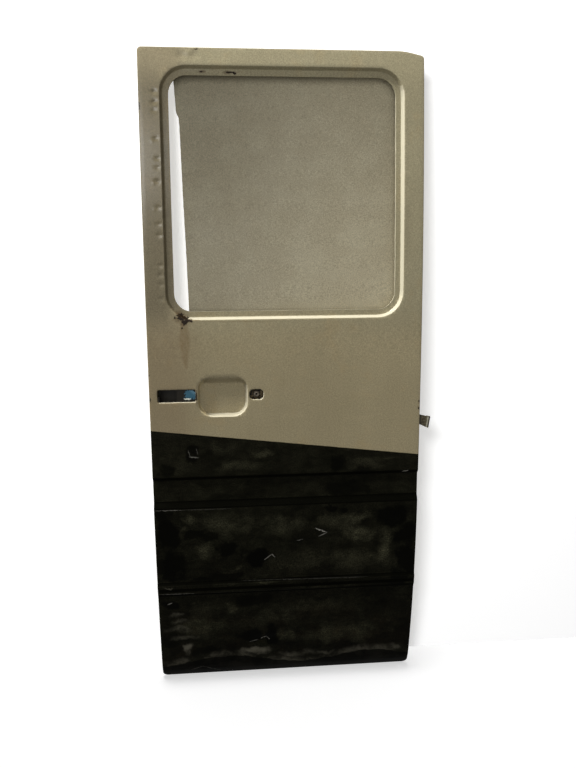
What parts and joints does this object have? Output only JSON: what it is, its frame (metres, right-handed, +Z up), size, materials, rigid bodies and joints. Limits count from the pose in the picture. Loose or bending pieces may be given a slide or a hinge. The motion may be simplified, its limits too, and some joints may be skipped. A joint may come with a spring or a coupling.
{
  "type": "van cargo door shell",
  "caption": "Tall pressed-steel van cargo door with a blanked window, a finger pocket and a belt groove; hangs by its hinge-side wall.",
  "frame": {"origin": "middle of the lower hinge's seat on the outside of the hinge-side wall", "axes": "+X out of the hinge side, +Y from the outside face into the vehicle, +Z up"},
  "size_m": [0.629, 0.0923, 1.423],
  "materials": {
    "two_tone_paint": "dull beige paint above, black below, chalked, scuffed and rusted",
    "beige_paint": "dull beige paint",
    "blanking_paint": "dull beige paint, dusty",
    "pressed_steel": "dull bare steel",
    "zinc_plate": "bluish zinc plate",
    "rusty_steel": "dark rusty steel",
    "dark_steel": "dull grey-brown steel"
  },
  "bodies": {
    "root": {"outer_skin": "two_tone_paint", "inner_panel": "beige_paint", "blanking_sheet": "blanking_paint", "blanking_screw_1": "zinc_plate", "blanking_screw_2": "zinc_plate", "blanking_screw_3": "zinc_plate", "blanking_screw_4": "zinc_plate", "blanking_screw_5": "zinc_plate", "blanking_screw_6": "zinc_plate", "blanking_screw_7": "zinc_plate", "blanking_screw_8": "zinc_plate", "waist_rail": "pressed_steel", "lower_rail": "pressed_steel", "lower_hinge_plate": "pressed_steel", "upper_hinge_plate": "pressed_steel", "lower_hinge_nut_1": "zinc_plate", "lower_hinge_nut_2": "zinc_plate", "upper_hinge_nut_1": "zinc_plate", "upper_hinge_nut_2": "zinc_plate", "latch_plate": "pressed_steel", "stay_lug": "rusty_steel", "stay_screw_1": "rusty_steel", "stay_screw_2": "rusty_steel", "handle_bracket": "zinc_plate", "handle_nut": "dark_steel"}
  },
  "joints": []
}
